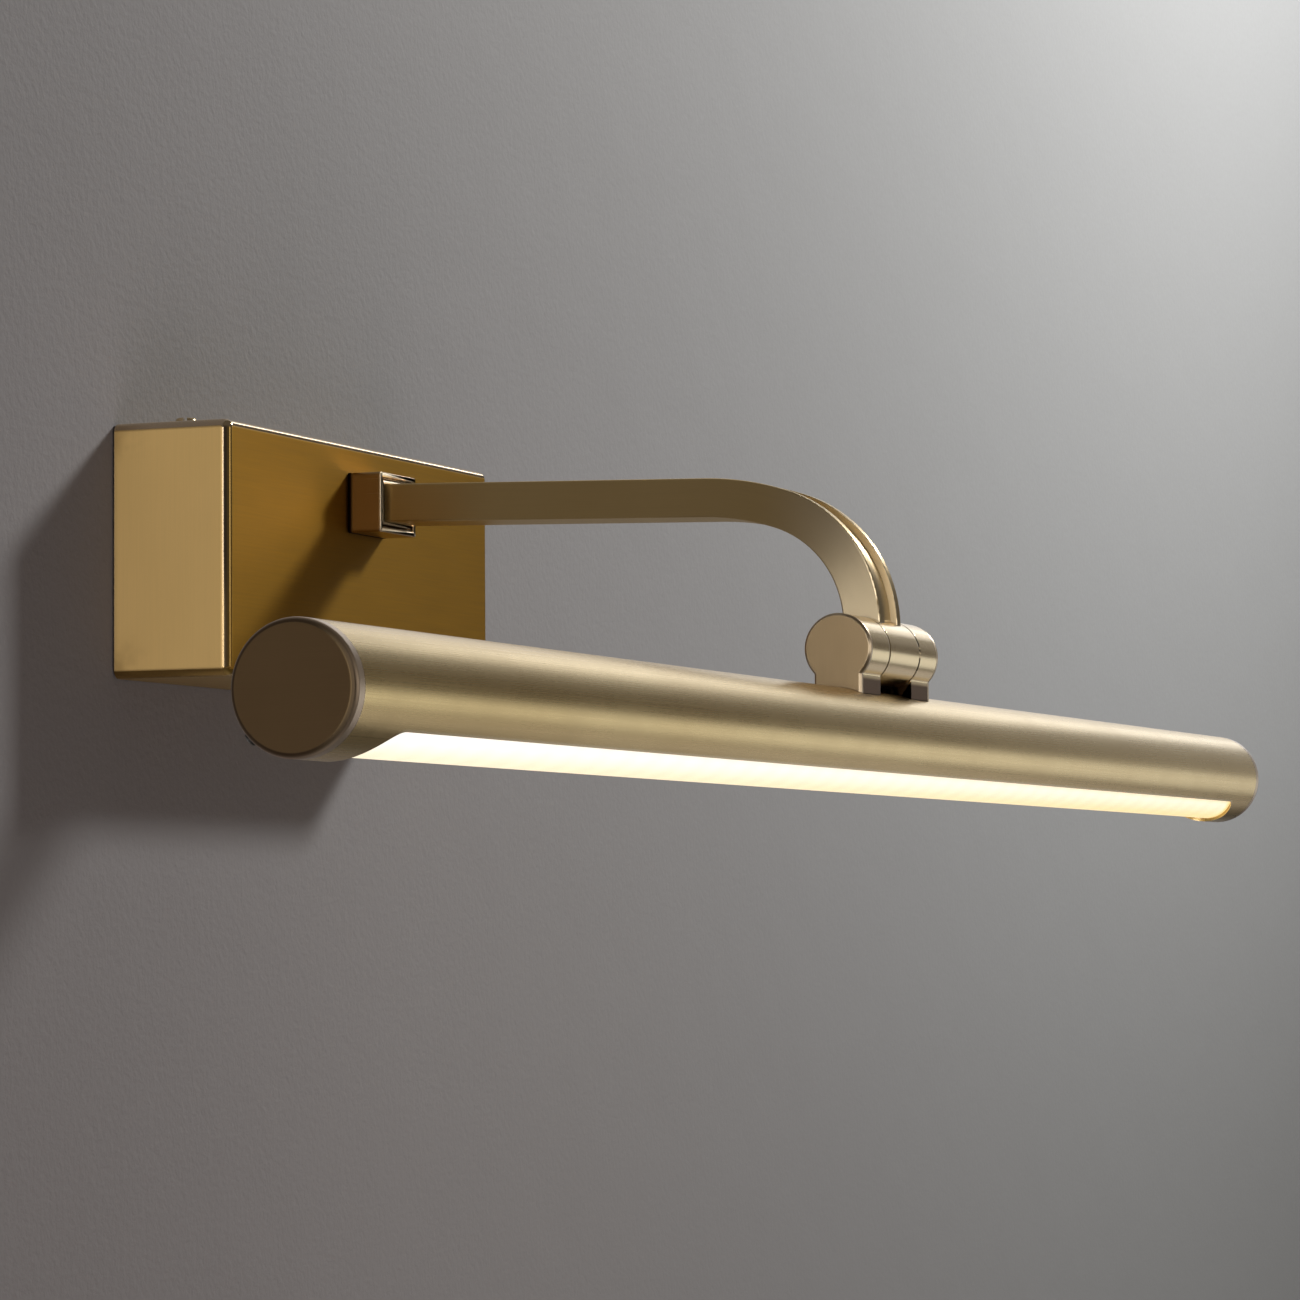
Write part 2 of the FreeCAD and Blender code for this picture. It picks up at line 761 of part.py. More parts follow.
def head_lead():
    """Lead from the pin's bore down through the right foot to the connector."""
    points = [
        at_hinge(14.2),
        at_hinge(lead_x),
        at_tube(lead_x, 0, 8.0),
        at_tube(50.0, 0, 8.0),
    ]
    return wire_solid(points, [4.0, 4.5], lead_d)


# ---------------------------------------------------------- electrical parts
def driver_mid_z():
    return (driver_z[0] + driver_z[1]) / 2


def driver_screw_x():
    return [driver_x[0] - 4.5, driver_x[1] + 4.5]


def driver():
    """Constant-current LED driver: a closed case with a foot at each end."""
    case = block(driver_x, (-plate_sheet - driver_height, -plate_sheet), driver_z)
    upper = [edge for edge in case.Edges if edge.BoundBox.YMax < -plate_sheet - 1]
    case = case.makeChamfer(1.2, upper)
    for x in driver_screw_x():
        tab = block((x - 4.5, x + 4.5), (-plate_sheet - 2, -plate_sheet),
                    (driver_mid_z() - 6, driver_mid_z() + 6))
        case = case.fuse(tab)
        case = case.cut(rod(1.7, V(x, 1, driver_mid_z()), V(x, -9, driver_mid_z())))
    return case.removeSplitter()


def driver_screws():
    screws = []
    for x in driver_screw_x():
        seat = V(x, -plate_sheet - 2.0, driver_mid_z())
        screws.append(slotted_screw(seat, V(0, -1, 0), 2.9, 3.9, 5.6, 2.0))
    return Part.makeCompound(screws)


def terminal_poles():
    middle = (terminal_x[0] + terminal_x[1]) / 2
    return [middle - terminal_pitch, middle, middle + terminal_pitch]


def terminal_screw_places():
    places = []
    for x in terminal_poles():
        for z in (terminal_z[0] + 4.5, terminal_z[1] - 4.5):
            places.append(V(x, -13.0, z))
    return places


def terminal_block():
    """Three-pole screw terminal: a base with one tower for each pole."""
    shape = block(terminal_x, (-9.0, -plate_sheet), terminal_z)
    for x in terminal_poles():
        shape = shape.fuse(block((x - 4, x + 4), (-15.0, -plate_sheet), terminal_z))
        low = V(x, wire_y, terminal_z[0])
        high = V(x, wire_y, terminal_z[1])
        shape = shape.cut(rod(wire_d / 2, low, low + V(0, 0, 3)))
        shape = shape.cut(rod(wire_d / 2, high - V(0, 0, 3), high))
    for place in terminal_screw_places():
        shape = shape.cut(rod(1.9, place, place - V(0, 9, 0)))
        shape = shape.cut(rod(1.5, place, place + V(0, 5, 0)))
    return shape.removeSplitter()


def terminal_screws():
    return Part.makeCompound([slotted_screw(place, V(0, -1, 0), 3.0, 5.0, 3.7, 1.6)
                              for place in terminal_screw_places()])


def mains_wires():
    """Live and neutral, from the terminal's lower side to the driver."""
    wires = []
    for x, z in zip(terminal_poles()[:2], (-9.0, -2.0)):
        points = [V(x, wire_y, terminal_z[0] + 3), V(x, wire_y, z), V(driver_x[0], wire_y, z)]
        wires.append(wire_solid(points, [5.0], wire_d))
    return Part.makeCompound(wires)


def earth_wire():
    x = terminal_poles()[2]
    points = [V(x, wire_y, terminal_z[1] - 3), V(x, wire_y, 29.5), V(earth_x, wire_y, 29.5),
              V(earth_x, wire_y, earth_z + 6.0)]
    return wire_solid(points, [3.0, 5.0], wire_d)


def earth_stud():
    return rod(2.0, V(earth_x, -plate_sheet, earth_z), V(earth_x, -12.0, earth_z))


def earth_tag():
    """Ring terminal with its crimp barrel."""
    eye = ring(4.0, 2.0, V(earth_x, -7.0, earth_z), V(earth_x, -6.0, earth_z))
    neck = block((earth_x - 1.4, earth_x + 1.4), (-7.0, -6.0), (earth_z + 3, earth_z + 6))
    barrel = ring(1.6, wire_d / 2, V(earth_x, wire_y, earth_z + 6), V(earth_x, wire_y, earth_z + 10))
    return eye.fuse(neck.cut(rod(2.0, V(earth_x, 0, earth_z), V(earth_x, -9, earth_z)))).fuse(barrel)


def earth_nuts():
    out = V(0, -1, 0)
    nuts = [hex_nut(V(earth_x, y, earth_z), out, 7.0, 3.0, 4.0) for y in (-3.0, -7.0)]
    washer = ring(4.5, 2.0, V(earth_x, -plate_sheet, earth_z), V(earth_x, -3.0, earth_z))
    return Part.makeCompound(nuts + [washer])


def cable_bushing():
    """Snap-in bushing, flush with the wall side, where the mains cord enters."""
    centre = bushing_centre
    collar_part = rod(10.0, centre - V(0, plate_sheet, 0), centre - V(0, plate_sheet + 1.5, 0))
    barrel = rod(8.0, centre, centre - V(0, plate_sheet, 0))
    sleeve = rod(6.5, centre, centre - V(0, 7.0, 0))
    body = collar_part.fuse(barrel).fuse(sleeve)
    return body.cut(rod(bushing_bore / 2, centre + V(0, 1, 0), centre - V(0, 9, 0)))


NODES = [
    wall_plate, ear_nuts, box_cover, cover_screws,
    collar, collar_liner, stiffener_plate, stiffener_studs, stiffener_nuts,
    arm_retainer, retainer_screws, arm_channel, arm_cover_strip, arm_lead,
    arm_knuckle, knuckle_set_screw, hinge_pin, friction_washers,
    foot_left, foot_right, hinge_cheek_left, hinge_cheek_right, foot_screws,
    tube_housing, end_cap_left, end_cap_right, cap_grub_screws, diffuser,
    led_carrier, led_board, led_chips, board_screws, board_connector, head_lead,
    driver, driver_screws, terminal_block, terminal_screws, mains_wires,
    earth_wire, earth_stud, earth_tag, earth_nuts, cable_bushing,
]

os.makedirs("parts", exist_ok=True)
print(f"hinge axis: Y {hinge_centre.y:.3f}, Z {hinge_centre.z:.3f}")
for make in NODES:
    shape = make()
    state = "valid" if shape.isValid() else "NOT VALID"
    print(f"{make.__name__}: {len(shape.Solids)} solids, {shape.Volume:.0f} mm3, {state}")
    shape.exportStep(f"parts/{make.__name__}.step")
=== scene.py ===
import json
import math

import bpy
from mathutils import Matrix, Vector


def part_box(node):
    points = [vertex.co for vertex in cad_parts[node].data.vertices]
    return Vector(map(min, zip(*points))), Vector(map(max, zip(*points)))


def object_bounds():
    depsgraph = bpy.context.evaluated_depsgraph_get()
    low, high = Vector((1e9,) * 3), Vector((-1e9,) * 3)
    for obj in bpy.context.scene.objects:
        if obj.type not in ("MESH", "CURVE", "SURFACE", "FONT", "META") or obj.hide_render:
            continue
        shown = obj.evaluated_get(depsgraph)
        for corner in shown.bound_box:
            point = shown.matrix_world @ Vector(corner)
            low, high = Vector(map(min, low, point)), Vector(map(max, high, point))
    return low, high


# Picture light on a plastered wall: finishes, stage, lights and camera.
# Metres, in the part's frame: the wall is the plane Y = 0, the room is at -Y.

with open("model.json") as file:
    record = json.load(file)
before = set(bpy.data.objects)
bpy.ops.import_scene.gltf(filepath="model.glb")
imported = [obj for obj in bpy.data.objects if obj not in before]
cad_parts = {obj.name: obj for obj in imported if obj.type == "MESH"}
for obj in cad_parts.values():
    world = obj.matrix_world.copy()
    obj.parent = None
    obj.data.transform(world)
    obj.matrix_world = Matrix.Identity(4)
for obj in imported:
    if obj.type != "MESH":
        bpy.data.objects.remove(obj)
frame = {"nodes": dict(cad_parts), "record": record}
cad_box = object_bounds()
nodes = frame["nodes"]


# The arm's centre line, seen from the side (Y, Z): a run that falls a little towards the room,
# a gentle bend and a tight one. Lengths and radii in metres, angles in degrees.
ARM = {"start": (-0.024, 0.0174), "fall": 1.5, "run": 0.1133,
       "gentle": 0.074, "turn": 17.0, "tight": 0.033}
# The lamp's window: half its length over the round ends, and half its width.
WINDOW_HALF, WINDOW_ROUND = 0.321, 0.0115
# Spacing of the LEDs and of the gaps in the board's tracks, and how far the start of both
# patterns is moved past the board's left end.
LED_PITCH, TRACK_PITCH, PATTERN_SHIFT = 0.015, 0.045, 0.6
# The stage: how far the wall and floor reach, the wall's top and the floor's height.
STAGE_REACH, WALL_TOP, FLOOR_HEIGHT = 4.0, 2.4, -1.3
# How far behind the plane Y = 0 the wall's sheet lies, and how far its hole stays inside
# the outline of the wall plate.
WALL_SHEET, HOLE_INSET = 0.0002, 0.002
# Pitch of the fine brush lines.
BRUSH_PITCH = 0.00022
# Tones that all the brass shares.
BRIGHT_LINE = (1.16, 1.16, 1.16)
PATINA, GRIME, RUBBED = (0.50, 0.33, 0.16), (0.16, 0.09, 0.045), (0.95, 0.82, 0.60)


# ------------------------------------------------------------------ materials
class Surface:
    """A Principled material whose patterns live in the part's own frame."""

    def __init__(self, name, **constants):
        self.material = bpy.data.materials.new(name)
        self.material.use_nodes = True
        tree = self.material.node_tree
        self.nodes, self.links = tree.nodes, tree.links
        self.nodes.clear()
        self.output = self.nodes.new("ShaderNodeOutputMaterial")
        self.shader = self.nodes.new("ShaderNodeBsdfPrincipled")
        self.links.new(self.shader.outputs[0], self.output.inputs["Surface"])
        for socket, value in constants.items():
            self.shader.inputs[socket.replace("_", " ")].default_value = value
        self.place = self.nodes.new("ShaderNodeTexCoord").outputs["Object"]
        self.geometry = self.nodes.new("ShaderNodeNewGeometry")

    def node(self, kind, values=(), output=0, **settings):
        """Adds a node, fills its inputs in order (None leaves one alone), and returns an output."""
        made = self.nodes.new("ShaderNode" + kind)
        for key, value in settings.items():
            setattr(made, key, value)
        items = values.items() if isinstance(values, dict) else enumerate(values)
        for key, value in items:
            if isinstance(value, bpy.types.NodeSocket):
                self.links.new(value, made.inputs[key])
            elif value is not None:
                made.inputs[key].default_value = value
        return made.outputs[output]

    def math(self, operation, a, b=None, clamp=False):
        return self.node("Math", (a, b), operation=operation, use_clamp=clamp)

    def vector(self, operation, a, b=None, output=0):
        return self.node("VectorMath", (a, b), output, operation=operation)

    def fit(self, value, low, high, to_low=0.0, to_high=1.0):
        """Maps low..high to to_low..to_high and stays inside that range."""
        return self.node("MapRange", (value, low, high, to_low, to_high), clamp=True)

    def smooth(self, value, low, high):
        """0 below low, 1 above high, with a soft step between."""
        return self.node("MapRange", (value, low, high, 0.0, 1.0), interpolation_type="SMOOTHSTEP")

    def mix(self, factor, a, b, blend="MIX"):
        """Mixes two colours, or two sockets that carry colours."""
        made = self.nodes.new("ShaderNodeMix")
        made.data_type, made.blend_type = "RGBA", blend
        for key, value in ((0, factor), (6, a), (7, b)):
            if isinstance(value, bpy.types.NodeSocket):
                self.links.new(value, made.inputs[key])
            else:
                made.inputs[key].default_value = colour(value) if key else value
        return made.outputs[2]

    def blend(self, factor, a, b):
        """Mixes two numbers."""
        return self.node("Mix", {0: factor, 2: a, 3: b}, data_type="FLOAT")

    def xyz(self, axis, vector=None):
        """One coordinate of the place in the frame, or of a given vector."""
        return self.node("SeparateXYZ", (vector or self.place,), axis)

    def noise(self, scale, detail=2.0, rough=0.5, shift=(0, 0, 0)):
        """Noise with its own scale (features per metre) along each axis."""
        scaled = self.node("Mapping", {0: self.place, 1: shift, 3: scale}, vector_type="POINT")
        return self.node("TexNoise", {"Vector": scaled, "Scale": 1.0,
                                      "Detail": detail, "Roughness": rough})

    def cells(self, scale, output="Distance"):
        scaled = self.vector("MULTIPLY", self.place, (scale,) * 3)
        made = self.nodes.new("ShaderNodeTexVoronoi")
        made.inputs["Scale"].default_value = 1.0
        self.links.new(scaled, made.inputs["Vector"])
        return made.outputs[output]

    def lines(self, axis, fine, coarse=0.02, detail=3.0):
        """Brush lines that run along one axis: fine is their pitch, coarse their length, in metres."""
        scale = [1 / fine] * 3
        scale[axis] = 1 / coarse
        return self.noise(scale, detail, 0.6)

    def edges(self, radius, low=0.02, high=0.35):
        """1 on edges that point outwards or inwards, 0 on plain faces."""
        bent = self.node("Bevel", (radius,), samples=4)
        away = self.vector("DOT_PRODUCT", bent, self.geometry.outputs["Normal"], output=1)
        return self.fit(self.math("SUBTRACT", 1.0, away), low, high)

    def crevice(self, distance):
        """1 deep in corners and gaps, 0 in the open."""
        open_share = self.node("AmbientOcclusion", {"Distance": distance}, "AO", samples=4)
        return self.math("SUBTRACT", 1.0, open_share)

    def lean(self, axis):
        """How much the surface faces along an axis of the part's frame, either way."""
        normal = self.node("VectorTransform", (self.geometry.outputs["Normal"],),
                           vector_type="NORMAL", convert_from="WORLD", convert_to="OBJECT")
        return self.math("ABSOLUTE", self.xyz(axis, normal))

    def facing(self, axis):
        return self.smooth(self.lean(axis), 0.6, 0.8)

    def folded(self):
        """1 on rounded bends between faces that lie square to the frame, 0 on the faces."""
        squarest = self.math("MAXIMUM", self.lean(0), self.math("MAXIMUM", self.lean(1), self.lean(2)))
        return self.math("SUBTRACT", 1.0, self.smooth(squarest, 0.96, 0.999))

    def brushed_along(self, direction):
        """Sets the highlight's direction: it spreads across the brush lines."""
        world = self.node("VectorTransform", (direction,),
                          vector_type="VECTOR", convert_from="OBJECT", convert_to="WORLD")
        across = self.vector("CROSS_PRODUCT", self.geometry.outputs["Normal"], world)
        self.set("Tangent", self.vector("NORMALIZE", across))

    def bump(self, height, distance, strength=1.0, before=None):
        values = {"Strength": strength, "Distance": distance, "Height": height}
        if before:
            values["Normal"] = before
        return self.node("Bump", values)

    def set(self, socket, value):
        self.links.new(value, self.shader.inputs[socket])


def colour(value):
    """A colour as Blender wants it: red, green, blue and alpha."""
    return tuple(value[:3]) + (1.0,)


def brass(name, direction, rough=0.28, spread=0.6, light=(0.74, 0.55, 0.25), dark=(0.69, 0.50, 0.215),
          front=None, folds=0.0, rounding=0.0, streaks=0.3, marks_and_painted_light=None):
    """Satin brass with brush lines: fine grain, patina, rubbed edges, dark crevices.

    A front tone covers the faces towards the room: painted shade on some parts and a painted
    highlight on others, darker or lighter than the rest. folds is how strongly the bends get a
    smoother polish and painted highlight and painted shade tones, rounding softens the sharp edges,
    streaks is how strongly the brush lines colour the metal, and the last argument gives a pattern,
    its tone and its roughness, for marks on the box and for painted shade, shadows and highlights.
    """
    s = Surface(name, Metallic=1.0, Anisotropic=spread)
    grain = direction(s)
    patch = s.noise((14, 14, 14), 3.0, 0.55)
    cloud = s.noise((60, 60, 60), 3.0, 0.6, shift=(3, 1, 2))
    rub = s.edges(0.0009)
    dirt = s.crevice(0.004)
    base = s.mix(s.fit(patch, 0.35, 0.65), dark, light)
    # Painted light: faces towards the room take their own darker or lighter tone.
    if front:
        base = s.mix(s.facing(1), base, front)
    base = s.mix(s.fit(grain, 0.3, 0.7, 0.0, streaks), base, BRIGHT_LINE, "MULTIPLY")
    base = s.mix(s.math("MULTIPLY", s.fit(cloud, 0.55, 0.75), 0.05), base, PATINA)
    base = s.mix(s.math("MULTIPLY", s.fit(dirt, 0.25, 0.8), 0.75), base, GRIME)
    base = s.mix(s.math("MULTIPLY", rub, 0.55), base, RUBBED)
    value = s.fit(grain, 0.25, 0.75, rough - 0.03, rough + 0.04)
    value = s.math("ADD", value, s.fit(cloud, 0.4, 0.7, -0.008, 0.012))
    if front:
        value = s.math("ADD", value, s.math("MULTIPLY", s.facing(1), 0.08))
    value = s.blend(s.math("MULTIPLY", rub, 0.8), value, 0.2)
    if folds:
        below = s.smooth(s.xyz(2), 0.0, -0.02)
        bend = s.math("MULTIPLY", s.folded(), s.fit(below, 0.0, 1.0, folds, 0.75 * folds))
        # Painted light on the bends: a pale painted highlight on the upper ones, a dark painted reflection
        # on the upright ones, and browner painted shade on the lower ones.
        upright = s.mix(s.smooth(s.lean(1), 0.55, 0.8), (0.13, 0.11, 0.10), (0.62, 0.43, 0.16))
        level = s.mix(below, (0.75, 0.62, 0.46), (0.60, 0.38, 0.10))
        tone = s.mix(s.smooth(s.lean(2), 0.05, 0.25), upright, level)
        base = s.mix(s.math("MULTIPLY", bend, 0.85), base, tone)
        value = s.blend(bend, value, 0.13)
    # The pattern paints shade, a contact shadow or highlights on most parts, and darker marks on the box.
    if marks_and_painted_light:
        share, tone, worn = marks_and_painted_light(s)
        base = s.mix(share, base, tone)
        value = s.blend(share, value, worn) if worn else value
    s.set("Base Color", base)
    s.set("Roughness", value)
    softened = s.node("Bevel", (rounding,), samples=6) if rounding else None
    s.set("Normal", s.bump(grain, 0.000005, 0.25, softened))
    return s.material


def box_marks(s):
    """Darker marks at the rear corners of the box's ends."""
    high = s.smooth(s.math("ABSOLUTE", s.xyz(2)), 0.020, 0.032)
    rear = s.smooth(s.xyz(1), -0.013, -0.002)
    patch = s.fit(s.noise((90, 90, 90), 3.0, 0.6), 0.35, 0.6)
    where = s.math("MULTIPLY", s.math("MULTIPLY", high, rear), s.math("MULTIPLY", patch, s.facing(0)))
    return s.math("MULTIPLY", where, 0.5), (0.34, 0.20, 0.07), None


def arm_painted_highlight(s):
    """Painted highlight: the arm's sides are lighter along its bends, away from the wall."""
    bends = s.smooth(s.math("MULTIPLY", s.xyz(1), -1.0), 0.150, 0.178)
    sides = s.math("SUBTRACT", 1.0, s.facing(1))
    return s.math("MULTIPLY", s.math("MULTIPLY", bends, sides), 0.8), (0.88, 0.74, 0.50), None


def rim_painted_highlight(s):
    """Painted highlight: rims are paler than the flat faces beside them."""
    return s.math("SUBTRACT", 1.0, s.facing(0)), (0.80, 0.67, 0.50), 0.42


def cap_rim(s):
    """Painted shade and painted highlight: the cap's rounding is dark beside the flat face and paler
    towards the seam.
    """
    tone = s.mix(s.smooth(s.lean(0), 0.9, 0.45), (0.20, 0.14, 0.08), (0.64, 0.50, 0.37))
    return s.math("SUBTRACT", 1.0, s.smooth(s.lean(0), 0.95, 0.998)), tone, 0.34


def foot_shade(s):
    """Painted shade: the feet are darkened low down, near the top of the tube."""
    tube_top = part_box("tube_housing")[1].z
    return s.smooth(s.xyz(2), tube_top + 0.0035, tube_top + 0.0020), (0.070, 0.036, 0.014), 0.65


def collar_root(s):
    """Painted contact shadow: a dark line where the collar meets the box."""
    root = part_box("collar")[1].y
    return s.smooth(s.xyz(1), root - 0.0016, root - 0.0006), (0.03, 0.012, 0.015), 0.6


def along(axis, vector, fine=BRUSH_PITCH, coarse=0.07):
    """Brush lines along one axis, with the highlight to match."""
    def build(s):
        s.brushed_along(vector)
        return s.lines(axis, fine, coarse)
    return build


def box_brushing(s):
    """The cover is brushed along X on its front, top and bottom, and faintly upright on its ends."""
    ends = s.facing(0)
    way = s.node("Mix", {0: ends, 4: (1, 0, 0), 5: (0, 0, 1)}, 1, data_type="VECTOR")
    s.brushed_along(way)
    faint = s.fit(s.lines(2, BRUSH_PITCH, 0.02), 0.0, 1.0, 0.35, 0.65)
    return s.blend(ends, s.lines(0, 0.0005, 0.03), faint)


def disc_brushing(s):
    """Caps and cheeks are brushed across their flat faces and lengthwise round the rim."""
    flat = s.facing(0)
    s.brushed_along(s.node("Mix", {0: flat, 4: (1, 0, 0), 5: (0, 1, 0)}, 1, data_type="VECTOR"))
    return s.blend(flat, s.lines(0, BRUSH_PITCH, 0.07), s.lines(1, BRUSH_PITCH, 0.03))


def arm_brushing(s):
    """Brush lines that follow the arm: straight, then round a gentle and a tight bend."""
    fall, turn = math.radians(ARM["fall"]), math.radians(ARM["fall"] + ARM["turn"])
    down = Vector((math.sin(fall), -math.cos(fall)))
    knee = Vector(ARM["start"]) + ARM["run"] * Vector((-math.cos(fall), -math.sin(fall)))
    gentle = knee + ARM["gentle"] * down
    elbow = gentle - ARM["gentle"] * Vector((math.sin(turn), -math.cos(turn)))
    tight = elbow + ARM["tight"] * Vector((math.sin(turn), -math.cos(turn)))
    y, z = s.xyz(1), s.xyz(2)

    def from_centre(centre):
        return s.math("SUBTRACT", centre.x, y), s.math("SUBTRACT", z, centre.y)

    def heading(centre):
        return s.math("ARCTAN2", *from_centre(centre))

    def radius(centre):
        out, above = from_centre(centre)
        squares = s.math("ADD", s.math("MULTIPLY", out, out), s.math("MULTIPLY", above, above))
        return s.math("SQRT", squares)

    soft, hard = heading(gentle), heading(tight)
    upright = math.pi / 2
    angle = s.math("ADD", s.fit(soft, fall, turn, fall, turn),
                   s.fit(hard, turn, upright, 0.0, upright - turn))
    way = s.node("CombineXYZ", (0.0, s.math("COSINE", angle), s.math("SINE", angle)))
    s.brushed_along(way)
    level = s.math("SUBTRACT", s.math("MULTIPLY", s.math("SUBTRACT", z, knee.y), math.cos(fall)),
                   s.math("MULTIPLY", s.math("SUBTRACT", y, knee.x), math.sin(fall)))
    offset = s.blend(s.math("GREATER_THAN", soft, fall), level,
                     s.math("SUBTRACT", radius(gentle), ARM["gentle"]))
    offset = s.blend(s.math("GREATER_THAN", hard, turn), offset,
                     s.math("SUBTRACT", radius(tight), ARM["tight"]))
    across_scale, along_scale = 4500.0, 40.0
    along_way = s.math("MULTIPLY", s.math("ADD", y, z), along_scale)
    place = s.node("CombineXYZ", (s.math("MULTIPLY", s.xyz(0), across_scale),
                                  s.math("MULTIPLY", offset, across_scale), along_way))
    return s.node("TexNoise", {"Vector": place, "Scale": 1.0, "Detail": 3.0, "Roughness": 0.6})


def plated_steel(name, tone=(0.62, 0.62, 0.60), rough=0.34):
    """Zinc plating: faint crystal patches, cool and warm tints, scratches, rubbed edges."""
    s = Surface(name, Metallic=1.0)
    patch = s.cells(220, "Color")
    grey = s.node("RGBToBW", (patch,))
    tint = s.noise((25, 25, 25), 2.0)
    scratch = s.noise((900, 60, 900), 2.0, 0.5)
    rub = s.edges(0.0006)
    dirt = s.crevice(0.003)
    base = s.mix(s.fit(tint, 0.35, 0.65), tuple(c * k for c, k in zip(tone, (0.96, 1.0, 1.04))),
                 tuple(c * k for c, k in zip(tone, (1.05, 1.0, 0.90))))
    base = s.mix(s.fit(grey, 0.2, 0.8, 0.0, 0.25), base, tuple(0.72 * c for c in tone))
    base = s.mix(s.math("MULTIPLY", s.fit(dirt, 0.3, 0.9), 0.6), base, (0.10, 0.10, 0.095))
    base = s.mix(s.math("MULTIPLY", rub, 0.5), base, (0.88, 0.88, 0.86))
    s.set("Base Color", base)
    value = s.fit(grey, 0.1, 0.9, rough - 0.07, rough + 0.09)
    s.set("Roughness", s.math("ADD", value, s.fit(scratch, 0.55, 0.75, 0.0, 0.12)))
    s.set("Normal", s.bump(scratch, 0.000012, 0.5))
    return s.material


def moulded(name, base, rough=0.45, grain=3500, dust=0.15, sub=0.0, pattern=None):
    """Moulded plastic: fine spark-eroded grain, slight colour drift, scuffed edges, dust in corners."""
    s = Surface(name, Subsurface_Weight=sub, Subsurface_Scale=0.002)
    fine = s.noise((grain,) * 3, 2.0, 0.6)
    drift = s.noise((30, 30, 30), 3.0)
    rub = s.edges(0.0006)
    dirt = s.crevice(0.003)
    plain = pattern(s) if pattern else base
    shade = s.mix(s.fit(drift, 0.3, 0.7, 0.0, 0.35), plain, tuple(0.86 * c for c in base))
    shade = s.mix(s.math("MULTIPLY", s.fit(dirt, 0.3, 0.9), dust * 2), shade, (0.22, 0.20, 0.17))
    shade = s.mix(s.math("MULTIPLY", rub, 0.18), shade, tuple(min(1.0, 0.25 + 0.8 * c) for c in base))
    s.set("Base Color", shade)
    s.set("Roughness", s.math("ADD", s.fit(fine, 0.3, 0.7, rough - 0.06, rough + 0.08),
                              s.math("MULTIPLY", rub, 0.1)))
    s.set("Normal", s.bump(fine, 0.000018, 0.6))
    return s.material


# ------------------------------------------------------------------- finishes
def tube_axis():
    """Where the round tube's centre line lies (Y, Z), from the box of the tube itself."""
    low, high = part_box("tube_housing")
    return (low.y + high.y) / 2, (low.z + high.z) / 2


def lens_material():
    """Lit opal lens: white on the room side, warmer low down, to the right and at the rim."""
    axis_y, axis_z = tube_axis()
    low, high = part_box("diffuser")
    s = Surface("opal_lens", Base_Color=(0.92, 0.89, 0.82, 1), Roughness=0.5, IOR=1.49,
                Subsurface_Weight=0.4, Subsurface_Scale=0.002)
    fine = s.noise((5000,) * 3, 2.0)
    y = s.math("SUBTRACT", s.xyz(1), axis_y)
    z = s.math("SUBTRACT", s.xyz(2), axis_z)
    angle = s.math("ARCTAN2", y, s.math("MULTIPLY", z, -1.0))
    low_down = s.smooth(angle, math.radians(-50), math.radians(-12))
    right = s.fit(s.xyz(0), low.x, high.x)
    chips = s.math("COSINE", s.math("MULTIPLY", s.xyz(0), 2 * math.pi / LED_PITCH))
    straight = WINDOW_HALF - WINDOW_ROUND
    past = s.math("MAXIMUM", s.math("SUBTRACT", s.math("ABSOLUTE", s.xyz(0)), straight), 0.0)
    reach = s.math("SQRT", s.math("ADD", s.math("MULTIPLY", past, past), s.math("MULTIPLY", y, y)))
    rim = s.smooth(reach, WINDOW_ROUND - 0.0025, WINDOW_ROUND)
    warm = s.math("ADD", s.math("MULTIPLY", low_down, 0.50), s.math("MULTIPLY", right, 0.46))
    rim_warmth = s.math("MULTIPLY", rim, s.fit(right, 0.0, 1.0, 0.15, 0.60))
    warm = s.math("ADD", warm, rim_warmth, clamp=True)
    s.set("Emission Color", s.mix(warm, (1.0, 0.99, 0.93), (0.97, 0.76, 0.34)))
    strength = s.fit(warm, 0.0, 1.0, 1.10, 0.96)
    s.set("Emission Strength", s.math("ADD", strength, s.math("MULTIPLY", chips, 0.03)))
    s.set("Roughness", s.fit(fine, 0.3, 0.7, 0.45, 0.58))
    s.set("Normal", s.bump(fine, 0.00001, 0.4))
    return s.material


def chip_material():
    """LED packages: white frames round yellow phosphor, one every 15 mm."""
    low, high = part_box("led_chips")
    middle = (low.y + high.y) / 2
    s = Surface("led_chip", Roughness=0.35, Subsurface_Weight=0.2, Subsurface_Scale=0.001)
    beside = s.math("PINGPONG", s.math("ADD", s.xyz(0), PATTERN_SHIFT), LED_PITCH / 2)
    near = s.math("MAXIMUM", beside, s.math("ABSOLUTE", s.math("SUBTRACT", s.xyz(1), middle)))
    yellow = s.smooth(near, 0.0011, 0.00095)
    grain = s.noise((9000,) * 3, 2.0)
    base = s.mix(yellow, (0.85, 0.85, 0.82), (0.90, 0.68, 0.12))
    s.set("Base Color", s.mix(s.fit(grain, 0.3, 0.7, 0.0, 0.25), base, (0.75, 0.60, 0.30)))
    s.set("Normal", s.bump(s.math("ADD", grain, yellow), 0.00003, 0.5))
    return s.material


